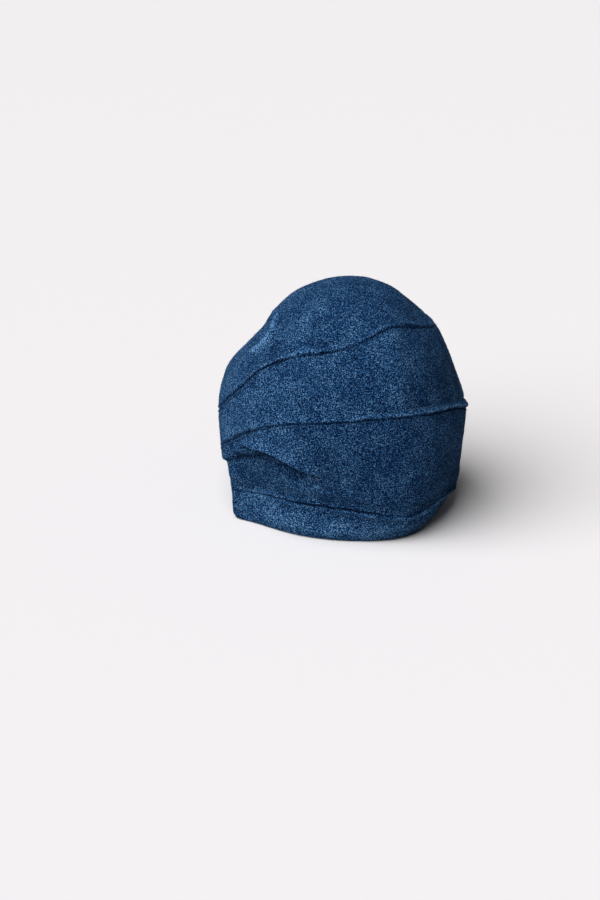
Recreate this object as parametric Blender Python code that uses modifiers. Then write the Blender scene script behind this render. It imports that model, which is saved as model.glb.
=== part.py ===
"""A cap of boiled wool that rests on its hem, open below.

Four pieces of thick felted cloth, sewn edge to edge, make it: the crown, the upper
panel, the lower panel and the hem band. Each is a wall of one thickness, and keeps a
small gap to the next. At a seam the edge of one piece lies over the tucked edge of its
neighbour and stands up as a soft ridge.

One surface, read from the tables of sections, lines and dents below, gives the outer
form. A point on it is named by a direction around the cap and by a level, which runs
from the hem, 0, to the middle of the crown. Metres, +Z up, X to the right, Y away from
the side that is seen first.
"""

import math
from typing import NamedTuple

import bmesh
import bpy
import numpy as np

# Overall form.
WIDTH = 0.210           # left to right, twice the reach that a share of 1 gives
DEPTH = 0.196           # front to back, in the same way
HEIGHT = 0.203          # from the table to the top of the crown

# Cloth and seams.
WALL = 0.0022           # thickness of the felted cloth
SEAM_GAP = 0.0004       # clearance between two sewn pieces
TUCK_LENGTH = 0.0060    # how far an edge runs on behind its neighbour
RIDGE_WIDTH = 0.0056    # width of the soft ridge along a seam
RIDGE_RISE = 0.0013     # how far the ridge stands out
LIP_SINK = 0.0006       # how far the edge of a ridge turns in
SEAM_RUN = 2 * WALL     # length over which a tucked edge turns inward
TUCK_DEPTH = WALL + SEAM_GAP                # how deep a tucked edge lies

# Hem, folded double round the tucked edge of the lower panel.
HEM_ROUND = WALL        # height and width of the round at the foot
HEM_DEPTH = TUCK_DEPTH + WALL + SEAM_GAP + WALL
HEM_LEVELLING = 0.009   # height over which the hem's thickness becomes level

# Sagging fold at the left, where the lower panel hangs over itself.
SAG_REACH = 0.0090      # how far the bulge and the hollow part from each other
SAG_DROP = 0.0030       # how far the bulge hangs down
SAG_ABOVE = 0.012       # height over which the bulge fades
SAG_BELOW = 0.013       # height over which the hollow fades
SAG_TURN = 0.0020       # height over which bulge turns to hollow

# Sharp crease that runs up from the hem at the left.
CREASE_STAND = 0.0100   # how far it stands out at the hem
CREASE_SPREAD = math.radians(8)

# Mesh.
COLUMNS = 56            # around the cap
CROWDING = 0.34         # how much closer the columns stand at the creased side
SPARSEST = math.radians(210)    # turn from the crease to where they stand widest apart
LEVEL_STEP = 0.03       # step in level over which a slope is measured
WELD = 1e-6             # distance at which two points are one


class Section(NamedTuple):
    """Reach of the cap at one height, as shares of half its width or depth."""

    height: float       # share of HEIGHT
    crease: float       # share of CREASE_STAND
    right: float
    right_back: float
    back: float
    left_back: float
    left: float
    left_crease: float
    left_front: float
    front_left: float
    front: float
    front_edge: float
    right_front: float


# Direction of each column of a section, in degrees from the right, towards the back.
DIRECTIONS = {
    "right": 0,
    "right_back": 45,
    "back": 90,
    "left_back": 135,
    "left": 180,
    "left_crease": 207,
    "left_front": 220,
    "front_left": 238,
    "front": 268,
    "front_edge": 301,
    "right_front": 335,
}

SECTIONS = (
    #       height crease right r_bk  back  l_bk  left  l_cr  l_fr  f_lf  front f_ed  r_fr
    Section(0.00, 1.00, 0.825, 0.85, 0.87, 0.88, 0.89, 0.915, 0.89, 0.88, 0.89, 0.93, 0.81),
    Section(0.12, 0.90, 0.915, 0.91, 0.91, 0.91, 0.93, 0.945, 0.90, 0.90, 0.93, 1.03, 0.925),
    Section(0.24, 0.80, 0.955, 0.96, 0.96, 0.96, 0.98, 1.00, 0.93, 0.93, 0.97, 1.06, 0.97),
    Section(0.36, 0.25, 0.97, 0.985, 1.00, 1.01, 1.05, 1.055, 1.01, 0.99, 1.01, 1.08, 1.00),
    Section(0.46, 0.00, 0.98, 0.985, 0.99, 1.00, 1.045, 1.045, 1.03, 1.02, 1.02, 1.07, 0.99),
    Section(0.55, 0.00, 0.925, 0.94, 0.95, 0.97, 1.015, 1.02, 1.01, 1.00, 1.00, 1.04, 0.94),
    Section(0.63, 0.00, 0.865, 0.885, 0.895, 0.925, 0.96, 0.965, 0.955, 0.95, 0.95, 0.99, 0.885),
    Section(0.71, 0.00, 0.80, 0.815, 0.82, 0.815, 0.82, 0.86, 0.875, 0.88, 0.88, 0.925, 0.82),
    Section(0.79, 0.00, 0.72, 0.73, 0.72, 0.69, 0.695, 0.73, 0.765, 0.78, 0.79, 0.83, 0.74),
    Section(0.89, 0.00, 0.52, 0.53, 0.56, 0.55, 0.545, 0.55, 0.56, 0.57, 0.58, 0.61, 0.55),
    Section(0.96, 0.00, 0.335, 0.34, 0.34, 0.335, 0.33, 0.33, 0.34, 0.35, 0.36, 0.37, 0.345),
    Section(1.00, 0.00, 0.00, 0.00, 0.00, 0.00, 0.00, 0.00, 0.00, 0.00, 0.00, 0.00, 0.00),
)


class Line(NamedTuple):
    """A line around the cap, with its height in each direction."""

    right: float
    right_back: float
    back: float
    left_back: float
    left: float
    left_crease: float
    left_front: float
    front_left: float
    front: float
    front_edge: float
    right_front: float


# Heights, as shares of HEIGHT.
#                  right r_bk  back  l_bk  left  l_cr   l_fr   f_lf   front  f_ed   r_fr
CROWN_SEAM = Line(0.80, 0.78, 0.66, 0.47, 0.41, 0.580, 0.705, 0.772, 0.820, 0.880, 0.842)
MIDDLE_SEAM = Line(0.44, 0.42, 0.38, 0.30, 0.24, 0.360, 0.445, 0.512, 0.550, 0.563, 0.512)
HEM_SEAM = Line(0.10, 0.13, 0.14, 0.14, 0.14, 0.138, 0.150, 0.156, 0.158, 0.124, 0.105)

# The sagging fold: shares of the way from the hem seam to the middle seam, and how much
# of SAG_REACH shows there.
SAG_LINE = Line(0.45, 0.45, 0.45, 0.50, 0.60, 0.640, 0.640, 0.500, 0.240, 0.270, 0.360)
SAG_SHOWN = Line(0.00, 0.00, 0.00, 0.10, 0.40, 0.650, 1.000, 0.800, 0.000, 0.000, 0.000)


class Dent(NamedTuple):
    """A long soft hollow in the cloth, or a swelling where its depth is below 0."""

    direction: float    # degrees, of its middle
    height: float       # of its middle, share of HEIGHT
    tilt: float         # degrees from level, rising to the right
    length: float       # half its length, share of half the WIDTH
    breadth: float      # half its breadth, share of half the WIDTH
    depth: float        # share of half the WIDTH


DENTS = (
    # Beside the top of the crown, at the left.
    Dent(186, 0.78, 90, 0.22, 0.14, 0.055),
    # Along the top of the hem band, under the sagging fold.
    Dent(232, 0.185, 0, 0.30, 0.07, 0.020),
)


def interpolate_round(values, directions):
    """Reads one row of direction values at any direction, smooth all round."""
    stops = np.radians([*DIRECTIONS.values()])
    stops = np.concatenate([stops[-2:] - 2 * math.pi, stops, stops[:3] + 2 * math.pi])
    values = np.asarray(values)
    values = np.concatenate([values[-2:], values, values[:3]])
    slopes = (values[2:] - values[:-2]) / (stops[2:] - stops[:-2])
    directions = np.mod(directions, 2 * math.pi)
    start = np.searchsorted(stops, directions, side="right") - 1
    span = stops[start + 1] - stops[start]
    share = (directions - stops[start]) / span
    return hermite(
        share, values[start], values[start + 1], slopes[start - 1] * span, slopes[start] * span
    )


def hermite(share, first, last, leaving, arriving):
    """A cubic from one value to the next, with the slope at each end."""
    rest = 1 - share
    return (
        (1 + 2 * share) * rest**2 * first
        + share**2 * (3 - 2 * share) * last
        + share * rest**2 * leaving
        - share**2 * rest * arriving
    )


def read_levels(rows, levels, over_the_top):
    """Reads a table, one row for each section, at the level given for each column.

    over_the_top is 1 for what comes back down the far side at the same value, such as
    a height, and -1 for what comes back with its sign changed, such as a reach.
    """
    rows = np.asarray(rows)
    if rows.ndim == 1:
        rows = np.repeat(rows[:, None], len(levels), axis=1)
    rows = np.concatenate([2 * rows[:1] - rows[1:2], rows, over_the_top * rows[-2:-1]])
    start = np.clip(np.floor(levels).astype(int), 0, TOP_LEVEL - 1)
    columns = np.arange(len(levels))
    before, here, there, after = (rows[start + step, columns] for step in range(4))
    return hermite(levels - start, here, there, (there - before) / 2, (after - here) / 2)


TOP_LEVEL = len(SECTIONS) - 1
SECTION_HEIGHTS = [section.height for section in SECTIONS]
SECTION_CREASES = [section.crease for section in SECTIONS]
SECTION_REACHES = [section[2:] for section in SECTIONS]


def level_at(height_share):
    """The level at which the surface has a height, given as a share of HEIGHT."""
    levels = np.arange(0, TOP_LEVEL + LEVEL_STEP, LEVEL_STEP)
    return np.interp(height_share, read_levels(SECTION_HEIGHTS, levels, 1), levels)


def angle_between(directions, middle_degrees):
    """Signed angle from a direction, the short way round."""
    return np.mod(directions - math.radians(middle_degrees) + math.pi, 2 * math.pi) - math.pi


def dent_depth(dent, directions, heights):
    """How far a dent presses the surface in, in metres."""
    reach = WIDTH / 2
    aside = angle_between(directions, dent.direction)
    up = (heights - dent.height) * HEIGHT / reach
    tilt = math.radians(dent.tilt)
    along = aside * math.cos(tilt) + up * math.sin(tilt)
    across = up * math.cos(tilt) - aside * math.sin(tilt)
    near = np.exp(-((along / dent.length) ** 2) - (across / dent.breadth) ** 2)
    return dent.depth * reach * near


def sag_height(directions):
    """Height of the sagging fold, as a share of HEIGHT."""
    low = interpolate_round(HEM_SEAM, directions)
    high = interpolate_round(MIDDLE_SEAM, directions)
    return low + interpolate_round(SAG_LINE, directions) * (high - low)


def sag_shift(directions, heights):
    """How far the sagging fold moves the surface outward and down."""
    shown = interpolate_round(SAG_SHOWN, directions)
    above = (heights - sag_height(directions)) * HEIGHT
    bulge = np.exp(-np.maximum(above, 0) / SAG_ABOVE)
    hollow = np.exp(np.minimum(above, 0) / SAG_BELOW)
    turn = 0.5 + 0.5 * np.tanh(above / SAG_TURN)
    outward = SAG_REACH * shown * (0.5 * bulge * turn - 0.5 * hollow * (1 - turn))
    drop = SAG_DROP * shown * bulge * turn
    return outward, drop


def surface(directions, levels):
    """Points of the cap's outer form, one for each direction and its level."""
    heights = read_levels(SECTION_HEIGHTS, levels, 1)
    reaches = [interpolate_round(row, directions) for row in SECTION_REACHES]
    reach = read_levels(reaches, levels, -1)
    away = np.abs(angle_between(directions, DIRECTIONS["left_crease"]))
    crease = read_levels(SECTION_CREASES, levels, 1)
    outward = CREASE_STAND * crease * np.exp(-away / CREASE_SPREAD)
    sag_outward, sag_drop = sag_shift(directions, heights)
    outward = outward + sag_outward
    for dent in DENTS:
        outward = outward - dent_depth(dent, directions, heights)
    along = np.stack([np.cos(directions), np.sin(directions)], axis=-1)
    plan = along * (reach[:, None] * [WIDTH / 2, DEPTH / 2] + outward[:, None])
    return np.column_stack([plan, heights * HEIGHT - sag_drop])


def column_directions():
    """Directions of the mesh columns, closest together at the creased side."""
    turns = np.linspace(0, 2 * math.pi, COLUMNS + 1)
    crowded = turns + CROWDING * (np.sin(turns - SPARSEST) + math.sin(SPARSEST))
    return math.radians(DIRECTIONS["left_crease"]) + crowded


COLUMN_DIRECTIONS = column_directions()


def unit(vectors):
    return vectors / np.linalg.norm(vectors, axis=-1, keepdims=True)


def outward_steps(levels):
    """Steps that move each column out by one metre, square to both faces beside it."""
    here = surface(COLUMN_DIRECTIONS, levels)
    above = surface(COLUMN_DIRECTIONS, np.minimum(levels + LEVEL_STEP, TOP_LEVEL))
    rise = above - surface(COLUMN_DIRECTIONS, np.maximum(levels - LEVEL_STEP, 0))
    spacing = np.diff(COLUMN_DIRECTIONS)
    after = surface(COLUMN_DIRECTIONS + np.append(spacing, spacing[0]), levels) - here
    before = here - surface(COLUMN_DIRECTIONS - np.insert(spacing, 0, spacing[-1]), levels)
    facing_after = unit(np.cross(after, rise))
    facing_before = unit(np.cross(before, rise))
    cosine = np.sum(facing_after * facing_before, axis=-1, keepdims=True)
    return (facing_after + facing_before) / (1 + cosine)


def offset_row(levels, offset):
    """A row of points around the cap, at a distance outside its outer form."""
    here = surface(COLUMN_DIRECTIONS, levels)
    if offset == 0:
        return here
    step = outward_steps(levels)
    lift = np.clip(here[:, 2:] / HEM_LEVELLING, 0, 1)
    step[:, 2:] *= lift
    return here + offset * step


def levels_of(line, beyond=0.0):
    """Levels along a line around the cap, or a distance above it."""
    levels = level_at(interpolate_round(line, COLUMN_DIRECTIONS))
    if beyond == 0:
        return levels
    above = surface(COLUMN_DIRECTIONS, levels + LEVEL_STEP)
    rise = np.linalg.norm(above - surface(COLUMN_DIRECTIONS, levels), axis=-1)
    return levels + beyond * LEVEL_STEP / rise


def ridge_rows(line, upward):
    """Rows of the raised edge that covers a seam, from the edge inward.

    upward is 1 where the piece lies above its seam and -1 where it lies below.
    """
    profile = (
        # Share of the ridge's width, and how far out.
        (0.00, -LIP_SINK),
        (0.22, 0.70 * RIDGE_RISE),
        (0.52, RIDGE_RISE),
        (0.95, 0.25 * RIDGE_RISE),
    )
    return [
        offset_row(levels_of(line, upward * RIDGE_WIDTH * along), out)
        for along, out in profile
    ]


def tucked_rows(line, upward):
    """Rows of an edge that runs on behind the raised edge of its neighbour.

    upward is 1 where the edge runs up past its seam and -1 where it runs down.
    """
    profile = (
        # Distance past the seam, and share of the depth.
        (TUCK_LENGTH, 1.00),
        (LIP_SINK, 1.00),
        (-0.42 * SEAM_RUN, 0.32),
        (-SEAM_RUN, 0.00),
    )
    return [
        offset_row(levels_of(line, upward * beyond), -TUCK_DEPTH * depth)
        for beyond, depth in profile
    ]


def plain_rows(low, high, shares):
    """Rows of the smooth stretch between two rows of levels, at the shares given."""
    return [offset_row(low + (high - low) * share, 0.0) for share in shares]


def cloth_piece(name, rows, colour, collection, parent):
    """Makes one piece of cloth from rows of points, with its wall on the inner side."""
    mesh = bpy.data.meshes.new(name)
    form = bmesh.new()
    bmesh.ops.create_grid(form, x_segments=COLUMNS, y_segments=len(rows) - 1, size=1)
    form.verts.ensure_lookup_table()
    for vert, place in zip(form.verts, np.concatenate(rows)):
        vert.co = place
    bmesh.ops.remove_doubles(form, verts=form.verts, dist=WELD)
    bmesh.ops.recalc_face_normals(form, faces=form.faces)
    form.to_mesh(mesh)
    form.free()
    mesh.shade_smooth()
    mesh.materials.append(wool(name, colour))
    piece = bpy.data.objects.new(name, mesh)
    collection.objects.link(piece)
    piece.parent = parent
    wall = piece.modifiers.new("Wall", "SOLIDIFY")
    wall.thickness = WALL
    wall.offset = -1
    wall.use_even_offset = True
    wall.use_quality_normals = True
    return piece


def wool(name, colour):
    """Felted wool: matt, with no metal in it."""
    material = bpy.data.materials.new(f"{name}_wool")
    material.use_nodes = True
    shader = material.node_tree.nodes["Principled BSDF"]
    shader.inputs["Base Color"].default_value = (*colour, 1)
    shader.inputs["Roughness"].default_value = 0.95
    shader.inputs["Metallic"].default_value = 0
    return material


def crown_rows():
    seam = levels_of(CROWN_SEAM, RIDGE_WIDTH)
    top = np.full_like(seam, TOP_LEVEL)
    return ridge_rows(CROWN_SEAM, 1) + plain_rows(
        seam, top, (0.10, 0.24, 0.38, 0.52, 0.65, 0.77, 0.88, 0.96, 1.0)
    )


def upper_panel_rows():
    low = levels_of(MIDDLE_SEAM, RIDGE_WIDTH)
    high = levels_of(CROWN_SEAM, -SEAM_RUN)
    return (
        ridge_rows(MIDDLE_SEAM, 1)
        + plain_rows(low, high, (0.12, 0.34, 0.56, 0.78))
        + tucked_rows(CROWN_SEAM, 1)[::-1]
    )


def lower_panel_rows():
    low = levels_of(HEM_SEAM, SEAM_RUN)
    fold = level_at(sag_height(COLUMN_DIRECTIONS))
    high = levels_of(MIDDLE_SEAM, -SEAM_RUN)
    return (
        tucked_rows(HEM_SEAM, -1)
        + plain_rows(low, fold, (0.40, 0.74, 0.93))
        + plain_rows(fold, high, (0.06, 0.22, 0.45, 0.72))
        + tucked_rows(MIDDLE_SEAM, 1)[::-1]
    )


def hem_band_rows():
    """Rows from the inner edge down, round the foot and up the outer side."""
    ground = np.zeros_like(COLUMN_DIRECTIONS)
    foot = level_at(ground + HEM_ROUND / HEIGHT)
    high = levels_of(HEM_SEAM, -RIDGE_WIDTH)
    return [
        offset_row(levels_of(HEM_SEAM, -TUCK_LENGTH / 2), -HEM_DEPTH),
        offset_row((foot + high) / 2, -HEM_DEPTH),
        offset_row(foot, -HEM_DEPTH),
        offset_row(ground, HEM_ROUND - HEM_DEPTH),
        offset_row(ground, -HEM_ROUND),
        offset_row(foot, 0.0),
        *plain_rows(foot, high, (0.35, 0.72)),
        *ridge_rows(HEM_SEAM, -1)[::-1],
    ]


def centre(parent, pieces):
    """Moves the cap so that its box is centred on the origin and stands at height 0."""
    bpy.context.view_layer.update()
    depsgraph = bpy.context.evaluated_depsgraph_get()
    corners = np.array(
        [corner[:] for piece in pieces for corner in piece.evaluated_get(depsgraph).bound_box]
    )
    low = corners.min(axis=0)
    high = corners.max(axis=0)
    parent.location = (-(low[0] + high[0]) / 2, -(low[1] + high[1]) / 2, -low[2])


def clear_scene():
    for thing in list(bpy.data.objects):
        bpy.data.objects.remove(thing, do_unlink=True)


def main():
    clear_scene()
    collection = bpy.data.collections.new("boiled_wool_cap")
    bpy.context.scene.collection.children.link(collection)
    parent = bpy.data.objects.new("cap", None)
    collection.objects.link(parent)
    navy = (0.035, 0.085, 0.185)
    pieces = [
        cloth_piece("crown", crown_rows(), navy, collection, parent),
        cloth_piece("upper_panel", upper_panel_rows(), navy, collection, parent),
        cloth_piece("lower_panel", lower_panel_rows(), navy, collection, parent),
        cloth_piece("hem_band", hem_band_rows(), navy, collection, parent),
    ]
    centre(parent, pieces)
    bpy.context.view_layer.update()


main()
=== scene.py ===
"""A boiled wool cap: four pieces of heathered felt with soft seams, folds and loose fibres.

Metres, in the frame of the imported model: +Z up, +X to the right and +Y away from the side
that is seen first. A direction around the cap is in degrees from +X towards +Y, so 180 is
the left side and 270 the front.
"""

import logging
import math
from collections.abc import Iterable
from dataclasses import dataclass
from enum import Enum

import bpy
import numpy as np
from mathutils import Euler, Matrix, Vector, noise
from mathutils.bvhtree import BVHTree
from mathutils.kdtree import KDTree


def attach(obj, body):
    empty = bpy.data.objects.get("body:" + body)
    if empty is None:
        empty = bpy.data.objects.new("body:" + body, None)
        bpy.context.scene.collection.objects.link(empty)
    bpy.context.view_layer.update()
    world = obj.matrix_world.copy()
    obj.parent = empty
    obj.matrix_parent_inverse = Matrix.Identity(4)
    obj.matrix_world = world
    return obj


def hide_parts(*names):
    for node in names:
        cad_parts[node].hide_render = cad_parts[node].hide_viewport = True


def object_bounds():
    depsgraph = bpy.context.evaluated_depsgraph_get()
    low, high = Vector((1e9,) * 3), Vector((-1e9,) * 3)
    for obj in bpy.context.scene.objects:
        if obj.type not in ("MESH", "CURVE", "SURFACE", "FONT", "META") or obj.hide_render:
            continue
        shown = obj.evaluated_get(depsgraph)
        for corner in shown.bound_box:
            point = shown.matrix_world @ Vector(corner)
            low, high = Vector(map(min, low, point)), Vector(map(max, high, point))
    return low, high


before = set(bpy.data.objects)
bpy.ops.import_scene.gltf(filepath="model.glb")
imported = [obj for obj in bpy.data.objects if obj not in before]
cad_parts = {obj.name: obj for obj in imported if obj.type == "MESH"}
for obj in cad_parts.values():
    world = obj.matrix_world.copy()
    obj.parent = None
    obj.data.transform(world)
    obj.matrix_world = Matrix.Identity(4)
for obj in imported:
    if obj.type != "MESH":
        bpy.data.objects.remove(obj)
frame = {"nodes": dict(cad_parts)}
cad_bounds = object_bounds()

Points = np.ndarray
Colour = tuple[float, float, float]
Source = bpy.types.NodeSocket | float | tuple[float, ...]
LOG = logging.getLogger("boiled_wool_cap")
BODY = "root"


class FoldKind(Enum):
    """How the cloth moves along the line of a fold."""

    RIDGE = "stands out along the line"
    VALLEY = "sinks in along the line"
    OVERHANG = "hangs out above the line and is hollow below it"
    SLIDE = "lies higher up along the line"


@dataclass(frozen=True)
class CapSpace:
    """Ways across the cap, which are the same for every piece, so that they move together.

    Attributes:
        axis: Place of the cap's upright middle line.
        core_height: Height above which the way out spreads from one middle point.
    """

    axis: tuple[float, float] = (0.0037, 0.0005)
    core_height: float = 0.105

    # Keeps a step of no length, at the very top, from being divided by 0.
    SHORTEST = 1e-6

    def outward(self, points: Points) -> Points:
        """Finds the ways out of the cap.

        Args:
            points: Points of the cloth.

        Returns:
            A unit step from the middle of the cap out through each point.
        """
        core = np.zeros_like(points)
        core[:, :2] = self.axis
        core[:, 2] = np.minimum(points[:, 2], self.core_height)
        away = points - core
        return away / np.linalg.norm(away, axis=1, keepdims=True)

    def upward(self, points: Points) -> Points:
        """Finds the ways up the cloth.

        Args:
            points: Points of the cloth.

        Returns:
            A unit step up the cloth at each point.
        """
        out = self.outward(points)
        up = np.array([0.0, 0.0, 1.0]) - out * out[:, 2:]
        return up / np.maximum(np.linalg.norm(up, axis=1, keepdims=True), self.SHORTEST)


class PackedSurface:
    """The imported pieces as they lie, to find places on and to see what covers what."""

    # Well outside the cap.
    FAR = 0.4

    def __init__(self, nodes: dict[str, bpy.types.Object], space: CapSpace) -> None:
        """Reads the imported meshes.

        Args:
            nodes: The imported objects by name.
            space: Ways across the cap.
        """
        self.space = space
        self.trees = {name: self._tree([node]) for name, node in nodes.items()}
        self.whole = self._tree(nodes.values())

    @staticmethod
    def _tree(nodes: Iterable[bpy.types.Object]) -> BVHTree:
        """Makes one search tree over the triangles of some packed objects.

        Args:
            nodes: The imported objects.

        Returns:
            The tree.
        """
        corners: list[Vector] = []
        faces: list[tuple[int, ...]] = []
        for node in nodes:
            start = len(corners)
            corners.extend(vertex.co.copy() for vertex in node.data.vertices)
            faces.extend(tuple(start + i for i in face.vertices) for face in node.data.polygons)
        return BVHTree.FromPolygons(corners, faces)

    def place(self, direction: float, height: float) -> Vector:
        """The point of the cloth that is seen from outside.

        Args:
            direction: Direction around the cap, in degrees.
            height: Height above the table.

        Returns:
            The point on the outer side of the cloth.
        """
        turn = math.radians(direction)
        away = Vector((math.cos(turn), math.sin(turn), 0.0))
        start = Vector((*self.space.axis, height)) + away * self.FAR
        hit = self.whole.ray_cast(start, -away)[0]
        if hit is None:
            raise ValueError(f"no cloth at {direction} degrees and {height} m")
        return hit


@dataclass(frozen=True)
class Fold:
    """A fold, crease or dent drawn across the cloth along a route.

    Attributes:
        name: What the fold is.
        kind: How the cloth moves.
        route: Direction in degrees, height and share of the reach, for each stop.
        reach: How far the cloth moves.
        breadth: Distance from the line over which the fold fades.
        tone: Painted highlight along the line, how much lighter the wool is painted; below 0,
            painted shade, how much darker.
        drop: How far cloth above an overhang's line hangs down.
        turn: Distance over which an overhang's cloth turns in.
    """

    name: str
    kind: FoldKind
    route: tuple[tuple[float, float, float], ...]
    reach: float
    breadth: float
    tone: float = 0.0
    drop: float = 0.0
    turn: float = 0.001

    SAMPLES = 60
    SMOOTHING = 9
    # Over 1, so that an overhang's lip gets painted highlight where its hollow gets painted
    # shade.
    LIP_TONE = 2.5

    def line(self, surface: PackedSurface) -> tuple[Points, Points]:
        """Lays the route on the cloth.

        Args:
            surface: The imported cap.

        Returns:
            Points along the route, and the share of the reach at each.
        """
        stops = np.linspace(0, 1, len(self.route))
        along = np.linspace(0, 1, self.SAMPLES)
        directions, heights, shares = (
            np.interp(along, stops, column) for column in np.array(self.route).T
        )
        places = np.array([surface.place(*stop) for stop in zip(directions, heights)])
        half = self.SMOOTHING // 2
        padded = np.pad(places, ((half, half), (0, 0)), mode="edge")
        window = np.full(self.SMOOTHING, 1 / self.SMOOTHING)
        smooth = [np.convolve(padded[:, axis], window, mode="valid") for axis in range(3)]
        return np.stack(smooth, axis=-1), shares

    def moves(self, points: Points, surface: PackedSurface) -> tuple[Points, Points]:
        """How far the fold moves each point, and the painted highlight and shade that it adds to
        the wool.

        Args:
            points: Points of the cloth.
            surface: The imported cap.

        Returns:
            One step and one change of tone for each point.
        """
        line, shares = self.line(surface)
        gaps = np.linalg.norm(points[:, None] - line[None], axis=2)
        nearest = gaps.argmin(axis=1)
        share = shares[nearest][:, None]
        gap = gaps.min(axis=1, keepdims=True)
        out = surface.space.outward(points)
        up = surface.space.upward(points)
        if self.kind is FoldKind.OVERHANG:
            side = np.sum((points - line[nearest]) * up, axis=1, keepdims=True)
            turned = 0.5 + 0.5 * np.tanh(side / self.turn)
            fade = share * np.exp(-gap / self.breadth)
            outward = 0.5 * self.reach * fade * (2 * turned - 1)
            steps = outward * out - self.drop * fade * turned * up
            # Painted shade below the overhang's line and painted highlight on its lip.
            return steps, self.tone * (fade * (1 - self.LIP_TONE * turned)).ravel()
        fade = share * np.exp(-((gap / self.breadth) ** 2))
        ways = {FoldKind.RIDGE: out, FoldKind.VALLEY: -out, FoldKind.SLIDE: up}
        # Above 0 the tone is painted highlight, below 0 painted shade.
        return self.reach * fade * ways[self.kind], self.tone * fade.ravel()


# Direction of each column of a seam's rows, in degrees.
DIRECTIONS = (0, 45, 90, 135, 180, 207, 220, 238, 268, 301, 335)
Row = tuple[float, ...]


def read_round(row: Row, directions: Points) -> Points:
    """Reads a row of values at any direction, smooth all round.

    Args:
        row: One value for each of DIRECTIONS.
        directions: Where to read it, in radians.

    Returns:
        One value for each direction.
    """
    stops = np.radians(DIRECTIONS)
    stops = np.concatenate([stops[-2:] - math.tau, stops, stops[:3] + math.tau])
    values = np.array([*row[-2:], *row, *row[:3]])
    slopes = (values[2:] - values[:-2]) / (stops[2:] - stops[:-2])
    directions = np.mod(directions, math.tau)
    start = np.searchsorted(stops, directions, side="right") - 1
    span = stops[start + 1] - stops[start]
    share = (directions - stops[start]) / span
    rest = 1 - share
    return (
        (1 + 2 * share) * rest**2 * values[start]
        + share**2 * (3 - 2 * share) * values[start + 1]
        + share * rest**2 * slopes[start - 1] * span
        - share**2 * rest * slopes[start] * span
    )


def hump(distances: Points, middle: float, breadth: float) -> Points:
    """A smooth hump of height 1 around a distance."""
    return np.exp(-(((distances - middle) / breadth) ** 2))


def ripple(points: Points, wave: float) -> Points:
    """Smooth random values around 0 over the points, one wave to each wave length."""
    return np.array([noise.noise(Vector(point) / wave) for point in points])


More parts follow.
